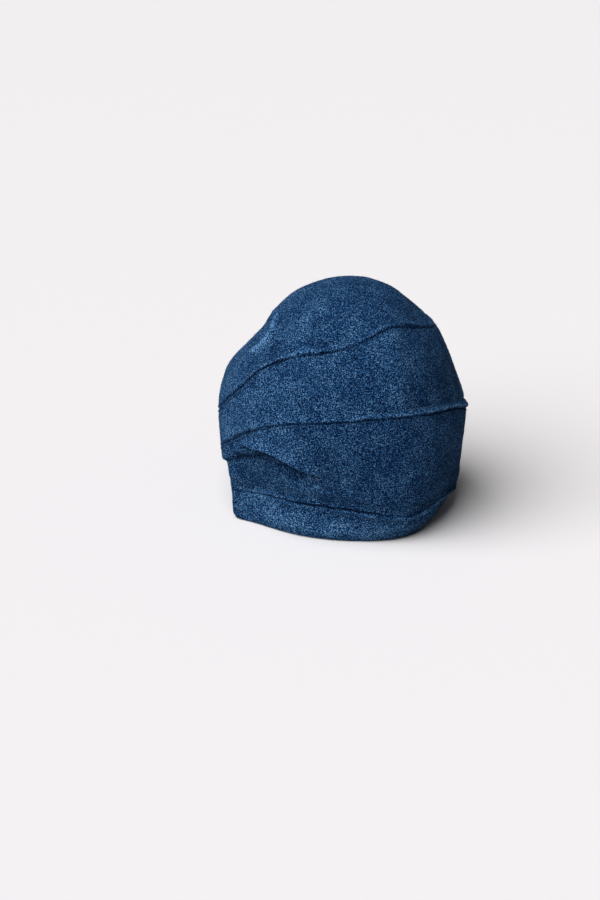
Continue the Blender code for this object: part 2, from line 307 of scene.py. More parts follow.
@dataclass(frozen=True)
class Seam:
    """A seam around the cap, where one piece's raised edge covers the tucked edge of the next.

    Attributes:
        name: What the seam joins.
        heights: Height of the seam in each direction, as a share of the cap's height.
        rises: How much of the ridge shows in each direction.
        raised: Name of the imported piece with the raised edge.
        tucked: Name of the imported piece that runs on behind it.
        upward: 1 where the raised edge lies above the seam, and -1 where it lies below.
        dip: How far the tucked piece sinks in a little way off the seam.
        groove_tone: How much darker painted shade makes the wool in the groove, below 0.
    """

    name: str
    heights: Row
    rises: Row
    raised: str
    tucked: str
    upward: int
    dip: float = 0.0
    groove_tone: float = -0.75

    SAMPLES = 720
    REACH = 0.016

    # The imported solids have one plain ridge, as high all round.
    PACKED_PLACE = 0.0026
    PACKED_BREADTH = 0.0030
    PACKED_RISE = 0.0013

    # The raised edge: a puckered ridge, a shallow valley behind it and a rounded rim.
    RIDGE_PLACE = 0.0027
    RIDGE_BREADTH = 0.0017
    RIDGE_RISE = 0.0016
    VALLEY_PLACE = 0.0072
    VALLEY_BREADTH = 0.0026
    VALLEY_DEPTH = 0.0009
    EDGE_ROUND = 0.0008
    EDGE_SINK = 0.0003

    # The tucked edge: a small shoulder, then a dip.
    SHOULDER_PLACE = 0.0011
    SHOULDER_BREADTH = 0.0010
    SHOULDER_LIFT = 0.0014
    DIP_PLACE = 0.0068
    DIP_BREADTH = 0.0042

    # Both edges pucker, and the seam wanders a little up and down.
    PUCKER_WAVE = 0.0060
    PUCKER_SHARE = 0.60
    WANDER_WAVE = 0.0090
    WANDER = 0.0007
    WANDER_BREADTH = 0.0050

    # Painted highlight on the raised ridge and the shoulder, painted shade in the groove and the
    # dip.
    RIDGE_TONE = 0.46
    SHOULDER_TONE = 0.16
    DIP_TONE = -0.14
    GROOVE_BREADTH = 0.0013
    GROOVE_WAVE = 0.022
    GROOVE_USUAL = 0.60
    GROOVE_LEAST = 0.25

    def line(self, surface: PackedSurface) -> KDTree:
        """Lays the seam on the cloth.

        Args:
            surface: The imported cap.

        Returns:
            A search tree over points along the seam.
        """
        turns = np.linspace(0, math.tau, self.SAMPLES, endpoint=False)
        heights = read_round(self.heights, turns) * (cad_bounds[1].z - cad_bounds[0].z)
        tree = KDTree(self.SAMPLES)
        for i, (turn, height) in enumerate(zip(turns, heights)):
            tree.insert(surface.place(math.degrees(turn), height), i)
        tree.balance()
        return tree

    def distances(self, points: Points, surface: PackedSurface) -> Points:
        """Measures along the cloth how far each point lies from the seam.

        Args:
            points: Points of the cloth.
            surface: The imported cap.

        Returns:
            One distance for each point, above 0 on the raised side.
        """
        line = self.line(surface)
        out = surface.space.outward(points)
        up = surface.space.upward(points)
        offsets = np.array([Vector(point) - line.find(point)[0] for point in points])
        depth = np.sum(offsets * out, axis=1)
        aside = np.sqrt(np.maximum(np.sum(offsets**2, axis=1) - depth**2, 0))
        return aside * np.sign(np.sum(offsets * up, axis=1)) * self.upward

    def moves(
        self, node: str, points: Points, facing: Points, surface: PackedSurface
    ) -> tuple[Points, Points]:
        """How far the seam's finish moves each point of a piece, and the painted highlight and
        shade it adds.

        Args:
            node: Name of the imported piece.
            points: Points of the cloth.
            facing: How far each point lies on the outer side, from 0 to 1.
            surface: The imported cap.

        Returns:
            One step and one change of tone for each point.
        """
        steps = np.zeros_like(points)
        tones = np.zeros(len(points))
        distances = self.distances(points, surface)
        near = np.flatnonzero(np.abs(distances) < self.REACH)
        places = points[near]
        away = distances[near]
        sunk = places[:, :2] - np.array(surface.space.axis)
        rise = read_round(self.rises, np.arctan2(sunk[:, 1], sunk[:, 0]))
        pucker = 1 + self.PUCKER_SHARE * ripple(places, self.PUCKER_WAVE)
        groove_shade = self.GROOVE_USUAL + ripple(places, self.GROOVE_WAVE)
        groove_shade = np.clip(groove_shade, self.GROOVE_LEAST, 1)
        # Painted shade along the groove, stronger and weaker at random.
        tone = self.groove_tone * groove_shade * hump(away, 0.0, self.GROOVE_BREADTH)
        if node == self.raised:
            ridge = rise * pucker * hump(away, self.RIDGE_PLACE, self.RIDGE_BREADTH)
            lift = self.RIDGE_RISE * ridge
            lift -= self.PACKED_RISE * hump(away, self.PACKED_PLACE, self.PACKED_BREADTH)
            lift -= self.VALLEY_DEPTH * rise * hump(away, self.VALLEY_PLACE, self.VALLEY_BREADTH)
            lift -= self.EDGE_SINK * hump(away, 0.0, self.EDGE_ROUND)
            # Painted highlight along the ridge.
            tone += self.RIDGE_TONE * ridge
        else:
            shoulder = pucker * hump(-away, self.SHOULDER_PLACE, self.SHOULDER_BREADTH)
            dip = hump(-away, self.DIP_PLACE, self.DIP_BREADTH)
            lift = self.SHOULDER_LIFT * shoulder - self.dip * dip
            # Painted highlight on the shoulder, painted shade in the dip.
            tone += self.SHOULDER_TONE * shoulder
            tone += self.DIP_TONE * dip * (self.dip > 0)
        wander = self.WANDER * ripple(places, self.WANDER_WAVE)
        wander *= hump(away, 0.0, self.WANDER_BREADTH)
        steps[near] = (lift * facing[near])[:, None] * surface.space.outward(places)
        steps[near] += wander[:, None] * surface.space.upward(places)
        tones[near] = tone
        return steps, tones


@dataclass(frozen=True)
class Unevenness:
    """Soft random waves in the cloth, the same for all pieces at a place.

    Attributes:
        wave: Size of one wave.
        height: How far the cloth moves out or in.
        start: Where the pattern starts, so that two patterns differ.
    """

    wave: float
    height: float
    start: float

    def moves(self, points: Points, space: CapSpace) -> Points:
        """How far the waves move each point.

        Args:
            points: Points of the cloth.
            space: Ways across the cap.

        Returns:
            One step for each point.
        """
        shift = Vector((self.start, self.start, self.start))
        swell = np.array([noise.noise(Vector(point) / self.wave + shift) for point in points])
        return self.height * swell[:, None] * space.outward(points)


class NodeBoard:
    """Adds and joins the nodes of one shader tree."""

    def __init__(self, tree: bpy.types.NodeTree) -> None:
        """Takes the tree to work on."""
        self.tree = tree

    def add(self, kind: str, **settings: object) -> bpy.types.Node:
        """Adds a node.

        Args:
            kind: Blender's name for the node.
            settings: Its own settings.

        Returns:
            The node.
        """
        node = self.tree.nodes.new(kind)
        for name, value in settings.items():
            setattr(node, name, value)
        return node

    def feed(self, socket: bpy.types.NodeSocket, source: Source) -> None:
        """Joins a source to a socket, or sets the socket where the source is a value.

        Args:
            socket: The socket.
            source: What it gets.
        """
        if isinstance(source, bpy.types.NodeSocket):
            self.tree.links.new(source, socket)
        else:
            socket.default_value = source

    def sum(self, operation: str, *sources: Source, clamp: bool = False) -> bpy.types.NodeSocket:
        """Works out a sum.

        Args:
            operation: Blender's name for the sum.
            sources: What goes in, in order.
            clamp: Whether the outcome is kept between 0 and 1.

        Returns:
            The outcome.
        """
        node = self.add("ShaderNodeMath", operation=operation, use_clamp=clamp)
        for socket, source in zip(node.inputs, sources):
            self.feed(socket, source)
        return node.outputs[0]

    def spread(self, source: Source, low: float, high: float) -> bpy.types.NodeSocket:
        """Spreads a range of values smoothly over 0 to 1.

        Args:
            source: The values.
            low: What becomes 0.
            high: What becomes 1.

        Returns:
            The spread values.
        """
        node = self.add("ShaderNodeMapRange", interpolation_type="SMOOTHSTEP")
        for name, value in (("Value", source), ("From Min", low), ("From Max", high)):
            self.feed(node.inputs[name], value)
        return node.outputs["Result"]

    def noise(
        self, vector: Source, scale: Source, detail: float, roughness: float
    ) -> bpy.types.Node:
        """Adds a noise texture.

        Args:
            vector: The place that is read.
            scale: Number of waves in a metre.
            detail: Number of finer layers.
            roughness: How much of the finer layers shows.

        Returns:
            The texture's node.
        """
        node = self.add("ShaderNodeTexNoise")
        values = {"Vector": vector, "Scale": scale, "Detail": detail, "Roughness": roughness}
        for name, value in values.items():
            self.feed(node.inputs[name], value)
        return node


class HeatherGroup:
    """The shader group for felted, heathered yarn: curled strands over small nubs."""

    NAME = "heathered_felt"
    CURL_SCALE = 420.0
    CURL_DETAIL = 2.0
    CURL_ROUGHNESS = 0.5
    CURL_REACH = 0.0011
    STRAND_DETAIL = 2.0
    STRAND_ROUGHNESS = 0.6
    STRAND_SHARPNESS = 9.0
    NUB_REACH = 0.75
    FLECK_DETAIL = 1.0
    FLECK_ROUGHNESS = 0.5
    FLECK_RANGE = (0.36, 0.64)

    # The middle of a noise texture's values.
    MIDDLE = 0.5
    FLECK_LIGHT = 0.50
    STRAND_LIGHT = 0.25
    NUB_LIGHT = 0.25
    STRAND_HEIGHT = 0.45
    NUB_HEIGHT = 0.55

    @classmethod
    def tree(cls) -> bpy.types.NodeTree:
        """The group, built the first time that it is asked for."""
        found = bpy.data.node_groups.get(cls.NAME)
        return found or cls._build()

    @classmethod
    def _build(cls) -> bpy.types.NodeTree:
        """Builds the group with its named inputs and outputs.

        Returns:
            The group.
        """
        tree = bpy.data.node_groups.new(cls.NAME, "ShaderNodeTree")
        tree.interface.new_socket("Vector", in_out="INPUT", socket_type="NodeSocketVector")
        for name in ("Nub Scale", "Strand Scale"):
            tree.interface.new_socket(name, in_out="INPUT", socket_type="NodeSocketFloat")
        for name in ("Lightness", "Height"):
            tree.interface.new_socket(name, in_out="OUTPUT", socket_type="NodeSocketFloat")
        board = NodeBoard(tree)
        given = board.add("NodeGroupInput").outputs
        curled = cls._curl(board, given["Vector"])
        strands = board.noise(
            curled, given["Strand Scale"], cls.STRAND_DETAIL, cls.STRAND_ROUGHNESS
        )
        off_line = board.sum("ABSOLUTE", board.sum("SUBTRACT", strands.outputs[0], cls.MIDDLE))
        off_line = board.sum("MULTIPLY", off_line, cls.STRAND_SHARPNESS)
        strand = board.sum("SUBTRACT", 1.0, off_line, clamp=True)
        cells = board.add("ShaderNodeTexVoronoi")
        board.feed(cells.inputs["Vector"], curled)
        board.feed(cells.inputs["Scale"], given["Nub Scale"])
        off_nub = board.spread(cells.outputs["Distance"], 0.0, cls.NUB_REACH)
        nub = board.sum("SUBTRACT", 1.0, off_nub)
        flecks = board.noise(curled, given["Nub Scale"], cls.FLECK_DETAIL, cls.FLECK_ROUGHNESS)
        fleck = board.spread(flecks.outputs[0], *cls.FLECK_RANGE)
        light = board.sum("MULTIPLY", fleck, cls.FLECK_LIGHT)
        light = board.sum("MULTIPLY_ADD", strand, cls.STRAND_LIGHT, light)
        light = board.sum("MULTIPLY_ADD", nub, cls.NUB_LIGHT, light)
        height = board.sum("MULTIPLY", strand, cls.STRAND_HEIGHT)
        height = board.sum("MULTIPLY_ADD", nub, cls.NUB_HEIGHT, height)
        result = board.add("NodeGroupOutput").inputs
        board.feed(result["Lightness"], light)
        board.feed(result["Height"], height)
        return tree

    @classmethod
    def _curl(cls, board: NodeBoard, vector: bpy.types.NodeSocket) -> bpy.types.NodeSocket:
        """Bends the place that is read, so that strands curl.

        Args:
            board: The group's board.
            vector: The place.

        Returns:
            The bent place.
        """
        bend = board.noise(vector, cls.CURL_SCALE, cls.CURL_DETAIL, cls.CURL_ROUGHNESS)
        centred = board.add("ShaderNodeVectorMath", operation="SUBTRACT")
        board.feed(centred.inputs[0], bend.outputs["Color"])
        board.feed(centred.inputs[1], (cls.MIDDLE,) * 3)
        curled = board.add("ShaderNodeVectorMath", operation="MULTIPLY_ADD")
        board.feed(curled.inputs[0], centred.outputs[0])
        board.feed(curled.inputs[1], (cls.CURL_REACH,) * 3)
        board.feed(curled.inputs[2], vector)
        return curled.outputs[0]


@dataclass(frozen=True)
class BoiledWool:
    """The finish of the felted cloth.

    Attributes:
        name: Name of the material.
        shade: Colour between the strands.
        ground: Colour of most of the wool.
        fleck: Colour of the lighter strands.
        speck: Colour of the few lightest strands.
        nub_scale: Nubs in a metre.
        strand_scale: Strands in a metre.
        relief: Height of the nubs.
        sheen: Share of light that the nap sends back at a glancing angle.
    """

    name: str = "boiled_wool"
    shade: Colour = (0.0001, 0.0053, 0.032)
    ground: Colour = (0.0048, 0.0440, 0.140)
    fleck: Colour = (0.066, 0.197, 0.422)
    speck: Colour = (0.235, 0.430, 0.650)
    nub_scale: float = 1050.0
    strand_scale: float = 880.0
    relief: float = 0.0011
    sheen: float = 0.04

    # Attribute of the cloth with its painted highlight and shade, how much lighter or darker the
    # wool is painted.
    PAINTED_SHADING = "painted_shading"
    PAINTED_SHADING_SHIFT = 0.16
    PAINTED_SHADING_SCALE = 0.60
    PATCH_SCALE = 55.0
    PATCH_DETAIL = 3.0
    PATCH_ROUGHNESS = 0.55
    PATCH_MIDDLE = 0.5
    PATCH_SHARE = 0.35
    STOPS = (0.29, 0.49, 0.72, 0.84)
    ROUGHNESS = 0.92
    SPECULAR = 0.02
    SHEEN_ROUGHNESS = 0.5
    SHEEN_TINT = (0.22, 0.48, 0.9, 1.0)

    def material(self) -> bpy.types.Material:
        """Builds the material.

        Returns:
            The material.
        """
        material = bpy.data.materials.new(self.name)
        material.use_nodes = True
        board = NodeBoard(material.node_tree)
        shader = material.node_tree.nodes["Principled BSDF"]
        place = board.add("ShaderNodeTexCoord").outputs["Object"]
        heather = board.add("ShaderNodeGroup", node_tree=HeatherGroup.tree())
        board.feed(heather.inputs["Vector"], place)
        board.feed(heather.inputs["Nub Scale"], self.nub_scale)
        board.feed(heather.inputs["Strand Scale"], self.strand_scale)
        # Painted highlight and shade: the cloth's attribute lifts the tone and scales the wool's
        # colour.
        painted_shading = board.add("ShaderNodeAttribute", attribute_name=self.PAINTED_SHADING).outputs["Fac"]
        patch = board.noise(place, self.PATCH_SCALE, self.PATCH_DETAIL, self.PATCH_ROUGHNESS)
        tone = board.sum("SUBTRACT", patch.outputs[0], self.PATCH_MIDDLE)
        tone = board.sum("MULTIPLY_ADD", tone, self.PATCH_SHARE, heather.outputs["Lightness"])
        tone = board.sum("MULTIPLY_ADD", painted_shading, self.PAINTED_SHADING_SHIFT, tone)
        painted_light = board.add("ShaderNodeVectorMath", operation="SCALE")
        board.feed(painted_light.inputs[0], self._heathered(board, tone))
        board.feed(painted_light.inputs["Scale"], board.sum("MULTIPLY_ADD", painted_shading, self.PAINTED_SHADING_SCALE, 1.0))
        bump = board.add("ShaderNodeBump")
        board.feed(bump.inputs["Strength"], 1.0)
        board.feed(bump.inputs["Distance"], self.relief)
        board.feed(bump.inputs["Height"], heather.outputs["Height"])
        board.feed(shader.inputs["Base Color"], painted_light.outputs[0])
        board.feed(shader.inputs["Normal"], bump.outputs["Normal"])
        board.feed(shader.inputs["Roughness"], self.ROUGHNESS)
        board.feed(shader.inputs["Specular IOR Level"], self.SPECULAR)
        board.feed(shader.inputs["Sheen Weight"], self.sheen)
        board.feed(shader.inputs["Sheen Roughness"], self.SHEEN_ROUGHNESS)
        board.feed(shader.inputs["Sheen Tint"], self.SHEEN_TINT)
        return material

    def _heathered(self, board: NodeBoard, tone: bpy.types.NodeSocket) -> bpy.types.NodeSocket:
        """Gives each tone of the wool its colour.

        Args:
            board: The material's board.
            tone: From 0, between the strands, to 1, on the lightest of them.

        Returns:
            The colour.
        """
        node = board.add("ShaderNodeValToRGB")
        stops = node.color_ramp.elements
        for first, position in zip(stops, self.STOPS):
            first.position = position
        for position in self.STOPS[len(stops):]:
            stops.new(position)
        for stop, colour in zip(stops, (self.shade, self.ground, self.fleck, self.speck)):
            stop.color = (*colour, 1.0)
        board.feed(node.inputs[0], tone)
        return node.outputs["Color"]


@dataclass(frozen=True)
class StrayFibre:
    """The finish of the loose fibres that stand off the cloth.

    Attributes:
        name: Name of the material.
        colour: Usual colour.
        darkest: Share of the colour on the darkest fibres.
        lightest: Share of the colour on the lightest fibres.
    """

    name: str = "stray_fibre"
    colour: Colour = (0.036, 0.110, 0.250)
    darkest: float = 0.35
    lightest: float = 1.7

    TONE_SCALE = 300.0
    TONE_DETAIL = 1.0
    TONE_ROUGHNESS = 0.5
    STOPS = (0.3, 0.7)
    ROUGHNESS = 0.8
    SPECULAR = 0.05

    def material(self) -> bpy.types.Material:
        """Builds the material.

        Returns:
            The material.
        """
        material = bpy.data.materials.new(self.name)
        material.use_nodes = True
        board = NodeBoard(material.node_tree)
        shader = material.node_tree.nodes["Principled BSDF"]
        place = board.add("ShaderNodeTexCoord").outputs["Object"]
        tone = board.noise(place, self.TONE_SCALE, self.TONE_DETAIL, self.TONE_ROUGHNESS)
        ramp = board.add("ShaderNodeValToRGB")
        shares = (self.darkest, self.lightest)
        for stop, position, share in zip(ramp.color_ramp.elements, self.STOPS, shares):
            stop.position = position
            stop.color = (*(share * channel for channel in self.colour), 1.0)
        board.feed(ramp.inputs[0], tone.outputs[0])
        board.feed(shader.inputs["Base Color"], ramp.outputs["Color"])
        board.feed(shader.inputs["Roughness"], self.ROUGHNESS)
        board.feed(shader.inputs["Specular IOR Level"], self.SPECULAR)
        return material


def deselect_all() -> None:
    """Leaves nothing selected, so that an operator acts only on what is chosen next."""
    bpy.ops.object.select_all(action="DESELECT")


def choose(thing: bpy.types.Object) -> None:
    """Makes one object the only one that operators act on.

    Args:
        thing: The object.
    """
    deselect_all()
    thing.select_set(True)
    bpy.context.view_layer.objects.active = thing


def read_points(mesh: bpy.types.Mesh) -> Points:
    """Reads the places of a mesh's vertices.

    Args:
        mesh: The mesh.

    Returns:
        One place for each vertex.
    """
    places = np.zeros(len(mesh.vertices) * 3)
    mesh.vertices.foreach_get("co", places)
    return places.reshape(-1, 3)


def write_points(mesh: bpy.types.Mesh, places: Points) -> None:
    """Moves a mesh's vertices."""
    mesh.vertices.foreach_set("co", places.ravel())
    mesh.update()


def read_normals(mesh: bpy.types.Mesh) -> Points:
    """Reads the normals of a mesh's vertices.

    Args:
        mesh: The mesh.

    Returns:
        One normal for each vertex.
    """
    normals = np.zeros(len(mesh.vertices) * 3)
    mesh.vertex_normals.foreach_get("vector", normals)
    return normals.reshape(-1, 3)


@dataclass(frozen=True)
class FibreCoat:
    """Loose fibres over the outer side of a piece.

    Attributes:
        count: Number of fibres.
        length: Usual length.
        girth: Thickness at the root.
        seed: Start of the random draws.
    """

    count: int
    length: float = 0.0018
    girth: float = 0.00009
    seed: int = 1

    # How far each kind of fibre bends from root to tip, in degrees.
    BENDS = (25.0, 60.0, 95.0, 130.0)
    WAIST = 0.1
    LEAST_LIFT = math.radians(3)
    MOST_LIFT = math.radians(28)
    MOST_ROLL = 1.2
    LENGTH_SPREAD = 0.35
    ROOT_DEPTH = 0.00012
    TABLE_CLEARANCE = 0.0002

    def _model(self, bend: float) -> tuple[Points, Points]:
        """Models one fibre of length 1 along +X, bent by some degrees.

        Args:
            bend: How far it bends from root to tip.

        Returns:
            Its points and its triangles.
        """
        width = self.girth / self.length
        bpy.ops.mesh.primitive_cone_add(vertices=3, radius1=width / 2, radius2=0, depth=1)
        fibre = bpy.context.object
        choose(fibre)
        bpy.ops.object.mode_set(mode="EDIT")
        bpy.ops.mesh.select_all(action="SELECT")
        bpy.ops.mesh.bisect(plane_co=(0, 0, self.WAIST), plane_no=(0, 0, 1))
        bpy.ops.mesh.select_all(action="SELECT")
        bpy.ops.mesh.quads_convert_to_tris()
        bpy.ops.object.mode_set(mode="OBJECT")
        bow = fibre.modifiers.new("Bend", "SIMPLE_DEFORM")
        bow.deform_method = "BEND"
        bow.deform_axis = "Y"
        bow.angle = math.radians(bend)
        bpy.ops.object.modifier_apply(modifier=bow.name)
        places = read_points(fibre.data)
        root = places[np.argsort(places[:, 2])[:3]].mean(axis=0)
        tip = places[places[:, 2].argmax()]
        chord = Vector(tip - root)
        turn = np.array(chord.rotation_difference(Vector((1, 0, 0))).to_matrix())
        places = (places - root) @ turn.T
        faces = np.array([face.vertices[:] for face in fibre.data.polygons])
        bpy.data.objects.remove(fibre, do_unlink=True)
        return places, faces

    def _roots(
        self, mesh: bpy.types.Mesh, bare: Points, draw: np.random.Generator
    ) -> tuple[Points, Points]:
        """Draws places for the roots, evenly over the bare faces.

        Args:
            mesh: The cloth.
            bare: True for each vertex that shows.
            draw: The random draws.

        Returns:
            The roots and the cloth's normals there.
        """
        mesh.calc_loop_triangles()
        corners = np.zeros(len(mesh.loop_triangles) * 3, dtype=int)
        mesh.loop_triangles.foreach_get("vertices", corners)
        corners = corners.reshape(-1, 3)
        corners = corners[bare[corners].all(axis=1)]
        places = read_points(mesh)[corners]
        sides = np.cross(places[:, 1] - places[:, 0], places[:, 2] - places[:, 0])
        areas = np.linalg.norm(sides, axis=1)
        chosen = draw.choice(len(areas), self.count, p=areas / areas.sum())
        shares = draw.dirichlet((1, 1, 1), self.count)[:, :, None]
        roots = np.sum(places[chosen] * shares, axis=1)
        return roots, sides[chosen] / areas[chosen][:, None]

    def _frames(self, normals: Points, draw: np.random.Generator) -> Points:
        """Draws how each fibre lies.

        Args:
            normals: The cloth's normals at the roots.
            draw: The random draws.

        Returns:
            Three unit steps for each fibre, the first of them along it.
        """
        aside = np.cross(normals, draw.normal(size=(self.count, 3)))
        aside /= np.linalg.norm(aside, axis=1, keepdims=True)
        lift = draw.uniform(self.LEAST_LIFT, self.MOST_LIFT, self.count)[:, None]
        along = aside * np.cos(lift) + normals * np.sin(lift)
        cross = np.cross(normals, aside)
        roll = draw.uniform(-self.MOST_ROLL, self.MOST_ROLL, self.count)[:, None]
        upright = np.cross(along, cross)
        third = cross * np.cos(roll) + upright * np.sin(roll)
        return np.stack([along, np.cross(third, along), third], axis=1)

    def scatter(
        self, cloth: bpy.types.Object, bare: Points, finish: StrayFibre
    ) -> bpy.types.Object:
        """Sets the fibres on a piece of cloth, as one mesh.

        Args:
            cloth: The finished piece.
            bare: True for each of its vertices that shows.
            finish: The fibres' finish.

        Returns:
            The new object.
        """
        draw = np.random.default_rng(self.seed)
        roots, normals = self._roots(cloth.data, bare, draw)
        frames = self._frames(normals, draw)
        sizes = self.length * draw.lognormal(0.0, self.LENGTH_SPREAD, self.count)
        kinds = draw.integers(0, len(self.BENDS), self.count)
        all_points: list[Points] = []
        all_faces: list[Points] = []
        start = 0
        for kind, bend in enumerate(self.BENDS):
            places, faces = self._model(bend)
            own = np.flatnonzero(kinds == kind)
            made = np.einsum("pk,fkj->fpj", places, frames[own]) * sizes[own][:, None, None]
            made += (roots[own] - normals[own] * self.ROOT_DEPTH)[:, None]
            all_points.append(made.reshape(-1, 3))
            offsets = start + len(places) * np.arange(len(own))
            all_faces.append((faces[None] + offsets[:, None, None]).reshape(-1, 3))
            start += len(places) * len(own)
        points = np.concatenate(all_points)
        points[:, 2] = np.maximum(points[:, 2], self.TABLE_CLEARANCE)
        mesh = bpy.data.meshes.new(f"{cloth.name}_fibres")
        mesh.from_pydata(points, [], np.concatenate(all_faces).tolist())
        mesh.materials.append(finish.material())
        coat = bpy.data.objects.new(mesh.name, mesh)
        bpy.context.scene.collection.objects.link(coat)
        return coat


@dataclass
class ClothPiece:
    """One sewn piece of cloth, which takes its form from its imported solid.

    Attributes:
        node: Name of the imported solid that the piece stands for.
        fibres: The loose fibres on it.
        seams: The cap's seams, some of which the piece meets.
        folds: Folds of the whole cap, which reach over seams.
        waves: Unevenness of the whole cap.
    """

    node: str
    fibres: FibreCoat
    seams: tuple[Seam, ...]
    folds: tuple[Fold, ...]
    waves: tuple[Unevenness, ...]

    MERGE = 1e-5
    FLATTEST_QUAD = math.radians(60)
    CUT_EDGE = math.radians(55)
    CUT_CREASE = 0.75
    SUBDIVISIONS = 2
    SMOOTHNESS = 0.5
    OUTER_COSINE = 0.1
    OUTER_TILT = 0.4
    NUB_SIZE = 0.0034
    NUB_HEIGHT = 0.0005
    COVER = 0.008
    FOOT_HEIGHT = 0.004
    MOST_PAINTED_SHADING = 0.8

    def build(
        self,
        node: bpy.types.Object,
        surface: PackedSurface,
        wool: bpy.types.Material,
        fibre: StrayFibre,
    ) -> list[bpy.types.Object]:
        """Makes the cloth and its fibres.

        Args:
            node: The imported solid.
            surface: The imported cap.
            wool: The cloth's material.
            fibre: Finish of the loose fibres.

        Returns:
            The cloth and the coat of fibres.
        """
        cloth = self._cage(node)
        self._soften(cloth)
        self._refine_outside(cloth, surface.space)
        self._sculpt(cloth, surface)
        self._roughen(cloth, surface)
        cloth.data.materials.clear()
        cloth.data.materials.append(wool)
        cloth.data.shade_smooth()
        coat = self.fibres.scatter(cloth, self._bare(cloth, surface), fibre)
        return [cloth, coat]

    def _cage(self, node: bpy.types.Object) -> bpy.types.Object:
        """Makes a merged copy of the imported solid, in quads.

        Args:
            node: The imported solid.

        Returns:
            The copy, with its cut edges creased.
        """
        cage = bpy.data.objects.new(f"{self.node}_cloth", node.data.copy())
        bpy.context.scene.collection.objects.link(cage)
        choose(cage)
        bpy.ops.object.mode_set(mode="EDIT")
        bpy.ops.mesh.select_all(action="SELECT")
        bpy.ops.mesh.remove_doubles(threshold=self.MERGE)
        bpy.ops.mesh.tris_convert_to_quads(
            face_threshold=self.FLATTEST_QUAD, shape_threshold=math.pi
        )
        bpy.ops.mesh.select_mode(type="EDGE")
        bpy.ops.mesh.select_all(action="DESELECT")
        bpy.ops.mesh.edges_select_sharp(sharpness=self.CUT_EDGE)
        bpy.ops.transform.edge_crease(value=self.CUT_CREASE)
        bpy.ops.object.mode_set(mode="OBJECT")
        return cage

    def _soften(self, cloth: bpy.types.Object) -> None:
        """Rounds the cage with an applied Subdivision Surface.

        Args:
            cloth: The piece, still as its cage.
        """
        choose(cloth)
        rounding = cloth.modifiers.new("Rounding", "SUBSURF")
        rounding.levels = self.SUBDIVISIONS
        rounding.render_levels = self.SUBDIVISIONS
        bpy.ops.object.modifier_apply(modifier=rounding.name)

    def _refine_outside(self, cloth: bpy.types.Object, space: CapSpace) -> None:
        """Cuts the faces of the outer side in four.

        Args:
            cloth: The rounded piece.
            space: Ways across the cap.
        """
        mesh = cloth.data
        centres = np.zeros(len(mesh.polygons) * 3)
        normals = np.zeros(len(mesh.polygons) * 3)
        mesh.polygons.foreach_get("center", centres)
        mesh.polygons.foreach_get("normal", normals)
        out = space.outward(centres.reshape(-1, 3))
        facing = np.sum(normals.reshape(-1, 3) * out, axis=1) > self.OUTER_COSINE
        mesh.polygons.foreach_set("select", facing)
        choose(cloth)
        bpy.ops.object.mode_set(mode="EDIT")
        bpy.ops.mesh.select_mode(type="FACE")
        bpy.ops.mesh.subdivide(number_cuts=1, smoothness=self.SMOOTHNESS)
        bpy.ops.object.mode_set(mode="OBJECT")

    def _sculpt(self, cloth: bpy.types.Object, surface: PackedSurface) -> None:
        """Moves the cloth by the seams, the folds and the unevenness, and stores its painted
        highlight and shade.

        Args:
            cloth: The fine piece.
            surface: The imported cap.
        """
        points = read_points(cloth.data)
        steps = np.zeros_like(points)
        tilt = np.sum(read_normals(cloth.data) * surface.space.outward(points), axis=1)
        facing = np.clip(tilt / self.OUTER_TILT, 0, 1)
        tones = np.zeros(len(points))
        own_seams = [seam for seam in self.seams if self.node in (seam.raised, seam.tucked)]
        changes = [seam.moves(self.node, points, facing, surface) for seam in own_seams]
        changes += [fold.moves(points, surface) for fold in self.folds]
        for step, tone in changes:
            steps += step
            tones += tone
        for wave in self.waves:
            steps += wave.moves(points, surface.space)
        free = np.clip(points[:, 2:] / self.FOOT_HEIGHT, 0, 1)
        write_points(cloth.data, points + steps * free)
        # Painted highlight and shade from the seams and folds, for the material.
        painted_shading = cloth.data.attributes.new(BoiledWool.PAINTED_SHADING, "FLOAT", "POINT")
        painted_shading.data.foreach_set("value", np.clip(tones, -self.MOST_PAINTED_SHADING, self.MOST_PAINTED_SHADING))

    def _roughen(self, cloth: bpy.types.Object, surface: PackedSurface) -> None:
        """Raises small nubs on the outer side.

        Args:
            cloth: The sculpted piece.
            surface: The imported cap.
        """
        points = read_points(cloth.data)
        out = surface.space.outward(points)
        facing = np.sum(read_normals(cloth.data) * out, axis=1) > self.OUTER_COSINE
        facing &= points[:, 2] > self.NUB_HEIGHT
        group = cloth.vertex_groups.new(name="outside")
        group.add(np.flatnonzero(facing).tolist(), 1.0, "REPLACE")
        clouds = bpy.data.textures.new(f"{self.node}_nubs", "CLOUDS")
        clouds.noise_scale = self.NUB_SIZE
        clouds.noise_depth = 1
        choose(cloth)
        nubs = cloth.modifiers.new("Nubs", "DISPLACE")
        nubs.texture = clouds
        nubs.texture_coords = "LOCAL"
        nubs.vertex_group = group.name
        nubs.strength = self.NUB_HEIGHT
        nubs.mid_level = 0.5
        bpy.ops.object.modifier_apply(modifier=nubs.name)

    def _bare(self, cloth: bpy.types.Object, surface: PackedSurface) -> Points:
        """Finds what of the piece shows.

        Args:
            cloth: The finished piece.
            surface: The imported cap.

        Returns:
            True for each vertex on the outer side that no other piece covers.
        """
        points = read_points(cloth.data)
        out = surface.space.outward(points)
        bare = np.sum(read_normals(cloth.data) * out, axis=1) > self.OUTER_COSINE
        others = [tree for name, tree in surface.trees.items() if name != self.node]
        for i in np.flatnonzero(bare):
            start = Vector(points[i])
            way = Vector(out[i])
            bare[i] = all(tree.ray_cast(start, way, self.COVER)[0] is None for tree in others)
        return bare


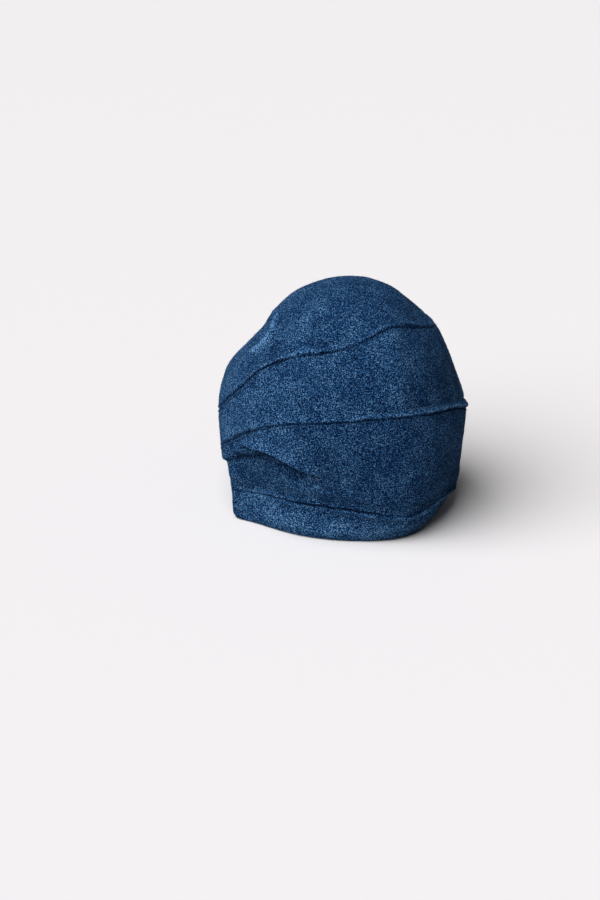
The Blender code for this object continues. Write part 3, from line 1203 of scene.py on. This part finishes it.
@dataclass
class Cap:
    """The whole cap.

    Attributes:
        seams: The three seams, from the crown down.
        folds: Folds, dents and slack places.
        waves: Unevenness of the cloth.
        wool: The cloth's finish.
        fibre: The loose fibres' finish.
    """

    seams: tuple[Seam, ...] = (
        Seam(
            "crown to upper panel",
            heights=(0.80, 0.78, 0.66, 0.47, 0.41, 0.58, 0.705, 0.772, 0.82, 0.88, 0.842),
            rises=(0.4, 0.4, 0.4, 0.4, 0.3, 0.5, 0.8, 0.9, 0.6, 0.5, 0.4),
            raised="crown",
            tucked="upper_panel",
            upward=1,
        ),
        Seam(
            "upper panel to lower panel",
            heights=(0.44, 0.42, 0.38, 0.30, 0.24, 0.36, 0.445, 0.512, 0.55, 0.563, 0.512),
            rises=(1.2, 0.7, 0.6, 0.4, 0.2, 0.2, 0.3, 0.4, 0.5, 0.8, 1.3),
            raised="upper_panel",
            tucked="lower_panel",
            upward=1,
        ),
        Seam(
            "lower panel to hem band",
            heights=(0.10, 0.13, 0.14, 0.14, 0.14, 0.138, 0.15, 0.156, 0.158, 0.124, 0.105),
            rises=(0.8, 0.6, 0.4, 0.3, 0.2, 0.2, 0.3, 0.4, 0.6, 0.9, 1.0),
            raised="hem_band",
            tucked="lower_panel",
            upward=-1,
            dip=0.0012,
            # Painted shade in this seam's groove, darker than at the other seams.
            groove_tone=-1.20,
        ),
    )
    folds: tuple[Fold, ...] = (
        # Painted shade in the hollow below the fold and painted highlight on its lip.
        Fold(
            "sagging fold at the left",
            FoldKind.OVERHANG,
            (
                (212, 0.0720, 0.0),
                (218, 0.0765, 0.3),
                (224, 0.0805, 0.9),
                (229, 0.0825, 1.0),
                (235, 0.0805, 1.0),
                (241, 0.0760, 1.0),
                (247, 0.0705, 0.9),
                (252, 0.0655, 0.5),
                (258, 0.0600, 0.0),
            ),
            reach=0.0130,
            breadth=0.0100,
            tone=-0.26,
            drop=0.0060,
            turn=0.0009,
        ),
        # Painted shade in the hollow.
        Fold(
            "hollow under the sagging fold",
            FoldKind.VALLEY,
            (
                (202, 0.0605, 0.0),
                (209, 0.0620, 0.6),
                (216, 0.0645, 0.8),
                (222, 0.0680, 1.0),
                (229, 0.0715, 1.0),
                (236, 0.0680, 1.0),
                (241, 0.0640, 1.0),
                (247, 0.0600, 0.6),
                (252, 0.0570, 0.0),
            ),
            reach=0.0048,
            breadth=0.0056,
            tone=-0.32,
        ),
        # Painted highlight along the dent's edge.
        Fold(
            "edge of the dent in the crown",
            FoldKind.RIDGE,
            (
                (193, 0.1400, 0.0),
                (201, 0.1475, 0.8),
                (206, 0.1525, 1.0),
                (208, 0.1575, 1.0),
                (208, 0.1625, 1.0),
                (206, 0.1670, 1.0),
                (202, 0.1710, 1.0),
                (197, 0.1745, 0.9),
                (188, 0.1775, 0.0),
            ),
            reach=0.0042,
            breadth=0.0028,
            tone=0.90,
        ),
        Fold(
            "dent in the crown",
            FoldKind.VALLEY,
            (
                (172, 0.134, 0.0),
                (178, 0.143, 1.0),
                (178, 0.152, 1.0),
                (174, 0.160, 0.8),
                (168, 0.170, 0.0),
            ),
            reach=0.0065,
            breadth=0.0090,
        ),
        Fold(
            "far side of the dent",
            FoldKind.VALLEY,
            (
                (162, 0.126, 0.0),
                (166, 0.137, 1.0),
                (164, 0.145, 1.0),
                (160, 0.152, 0.8),
                (156, 0.164, 0.0),
            ),
            reach=0.0036,
            breadth=0.0125,
        ),
        # Painted shade in the hollow.
        Fold(
            "hollow inside the dent's edge",
            FoldKind.VALLEY,
            (
                (201, 0.134, 0.0),
                (208, 0.143, 0.8),
                (216, 0.152, 1.0),
                (220, 0.159, 1.0),
                (220, 0.166, 0.7),
                (212, 0.174, 0.0),
            ),
            reach=0.0022,
            breadth=0.0060,
            tone=-0.15,
        ),
        Fold(
            "upright crease at the front",
            FoldKind.RIDGE,
            (
                (303, 0.185, 0.0),
                (302, 0.172, 0.9),
                (299, 0.158, 1.0),
                (297, 0.142, 1.0),
                (296, 0.128, 0.7),
                (295, 0.105, 0.0),
            ),
            reach=0.0022,
            breadth=0.0085,
        ),
        # Painted light: the middle of the hem is painted lighter.
        Fold(
            "rubbed middle of the hem",
            FoldKind.RIDGE,
            (
                (190, 0.013, 0.0),
                (215, 0.013, 0.6),
                (250, 0.013, 1.0),
                (300, 0.011, 1.0),
                (330, 0.010, 0.6),
                (350, 0.010, 0.0),
            ),
            reach=0.0008,
            breadth=0.0110,
            tone=0.50,
        ),
        Fold(
            "deeper hem at the right",
            FoldKind.SLIDE,
            (
                (299, 0.0252, 0.0),
                (308, 0.0245, 0.2),
                (316, 0.0235, 0.6),
                (324, 0.0225, 1.0),
                (335, 0.0216, 1.0),
                (345, 0.0210, 0.6),
                (356, 0.0205, 0.0),
            ),
            reach=0.0066,
            breadth=0.0130,
        ),
        Fold(
            "fuller cloth above the hem at the right",
            FoldKind.RIDGE,
            (
                (318, 0.0260, 0.0),
                (332, 0.0240, 0.7),
                (345, 0.0225, 1.0),
                (358, 0.0225, 1.0),
                (372, 0.0250, 0.0),
            ),
            reach=0.0036,
            breadth=0.0140,
        ),
        Fold(
            "slack at the left side",
            FoldKind.VALLEY,
            (
                (163, 0.080, 0.0),
                (174, 0.079, 1.0),
                (188, 0.078, 1.0),
                (202, 0.078, 0.0),
            ),
            reach=0.0022,
            breadth=0.0150,
        ),
    )
    waves: tuple[Unevenness, ...] = (
        Unevenness(0.045, 0.0012, 3.1),
        Unevenness(0.016, 0.0005, 8.7),
    )
    wool: BoiledWool = BoiledWool()
    fibre: StrayFibre = StrayFibre()

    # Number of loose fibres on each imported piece.
    FIBRES = {"crown": 12000, "upper_panel": 12000, "lower_panel": 12000, "hem_band": 6000}

    def build(self, nodes: dict[str, bpy.types.Object]) -> None:
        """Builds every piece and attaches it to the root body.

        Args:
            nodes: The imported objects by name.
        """
        surface = PackedSurface(nodes, CapSpace())
        wool = self.wool.material()
        for seed, (node, count) in enumerate(self.FIBRES.items()):
            coat = FibreCoat(count, seed=seed)
            piece = ClothPiece(node, coat, self.seams, self.folds, self.waves)
            made_pieces = piece.build(nodes[node], surface, wool, self.fibre)
            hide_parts(node)
            for made in made_pieces:
                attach(made, BODY)
                LOG.info("%s: %d faces", made.name, len(made.data.polygons))


@dataclass(frozen=True)
class Studio:
    """Floor, light and camera.

    Attributes:
        floor_radius: Half the breadth of the floor.
        floor_colour: Colour of the floor as the camera sees it.
        floor_bounce: Share of that colour with which the floor lights the cap.
        lens: Focal length of the camera, in millimetres.
        camera_place: Where the camera stands.
        camera_pitch: How far it looks down.
        camera_roll: How far it leans.
        key_turn: How far to the left the light stands, seen from the front.
        key_height: How high it stands.
        key_breadth: How broad it looks from the cap.
        key_strength: How strong it is.
        fill: Strength of the light from all round.
        backdrop: Brightness of the backdrop.
        backdrop_colour: Colour of the backdrop and of the light from all round.
    """

    floor_radius: float = 6.0
    floor_colour: Colour = (0.735, 0.72, 0.73)
    floor_bounce: float = 0.54
    lens: float = 91.0
    camera_place: tuple[float, float, float] = (-0.0350, -1.8166, 0.8128)
    camera_pitch: float = math.radians(22.875)
    camera_roll: float = math.radians(1.06)
    key_turn: float = math.radians(50)
    key_height: float = math.radians(50)
    key_breadth: float = math.radians(66)
    key_strength: float = 4.8
    fill: float = 0.08
    backdrop: float = 0.80
    backdrop_colour: Colour = (1.0, 0.98, 0.97)

    FLOOR_SIDES = 96
    FLOOR_ROUGHNESS = 0.7
    FLOOR_SPECULAR = 0.2
    # Places of the colour sockets on a Mix node, which share their names with others.
    MIX_FIRST = 6
    MIX_SECOND = 7
    MIX_RESULT = 2

    def build(self) -> None:
        """Sets up the floor, the light and the camera."""
        self._floor()
        self._world()
        self._light()
        self._camera()

    def _floor(self) -> None:
        """Lays a pale round floor."""
        bpy.ops.mesh.primitive_circle_add(
            vertices=self.FLOOR_SIDES, radius=self.floor_radius, fill_type="NGON"
        )
        floor = bpy.context.object
        floor.name = "floor"
        material = bpy.data.materials.new("pale_floor")
        material.use_nodes = True
        board = NodeBoard(material.node_tree)
        shader = material.node_tree.nodes["Principled BSDF"]
        seen = board.add("ShaderNodeLightPath").outputs["Is Camera Ray"]
        bounce = (*(self.floor_bounce * channel for channel in self.floor_colour), 1.0)
        colour = board.add("ShaderNodeMix", data_type="RGBA")
        board.feed(colour.inputs["Factor"], seen)
        board.feed(colour.inputs[self.MIX_FIRST], bounce)
        board.feed(colour.inputs[self.MIX_SECOND], (*self.floor_colour, 1.0))
        board.feed(shader.inputs["Base Color"], colour.outputs[self.MIX_RESULT])
        board.feed(shader.inputs["Roughness"], self.FLOOR_ROUGHNESS)
        board.feed(shader.inputs["Specular IOR Level"], self.FLOOR_SPECULAR)
        floor.data.materials.append(material)

    def _world(self) -> None:
        """Sets a dim light from all round, and a pale backdrop that only the camera sees."""
        world = bpy.data.worlds.new("studio")
        world.use_nodes = True
        board = NodeBoard(world.node_tree)
        background = world.node_tree.nodes["Background"]
        seen = board.add("ShaderNodeLightPath").outputs["Is Camera Ray"]
        strength = board.add("ShaderNodeMix")
        board.feed(strength.inputs["Factor"], seen)
        board.feed(strength.inputs["A"], self.fill)
        board.feed(strength.inputs["B"], self.backdrop)
        board.feed(background.inputs["Color"], (*self.backdrop_colour, 1.0))
        board.feed(background.inputs["Strength"], strength.outputs["Result"])
        bpy.context.scene.world = world

    def _light(self) -> None:
        """Sets one very broad, soft light from the left, the front and above."""
        lamp = bpy.data.lights.new("key", "SUN")
        lamp.angle = self.key_breadth
        lamp.energy = self.key_strength
        light = bpy.data.objects.new("key", lamp)
        light.rotation_euler = (math.pi / 2 - self.key_height, 0.0, -self.key_turn)
        bpy.context.scene.collection.objects.link(light)

    def _camera(self) -> None:
        """Sets the camera at the angle from which the cap is seen first."""
        data = bpy.data.cameras.new("camera")
        data.lens = self.lens
        camera = bpy.data.objects.new("camera", data)
        tilt = Euler((math.pi / 2 - self.camera_pitch, 0.0, 0.0)).to_matrix()
        roll = Euler((0.0, 0.0, self.camera_roll)).to_matrix()
        camera.location = self.camera_place
        camera.rotation_euler = (tilt @ roll).to_euler()
        bpy.context.scene.collection.objects.link(camera)
        bpy.context.scene.camera = camera


def main() -> None:
    """Builds the cap and its studio."""
    logging.basicConfig(level=logging.INFO, format="%(name)s: %(message)s")
    deselect_all()
    Cap().build(frame["nodes"])
    Studio().build()
    bpy.context.scene.view_settings.view_transform = "Standard"


if __name__ == "__main__":
    main()
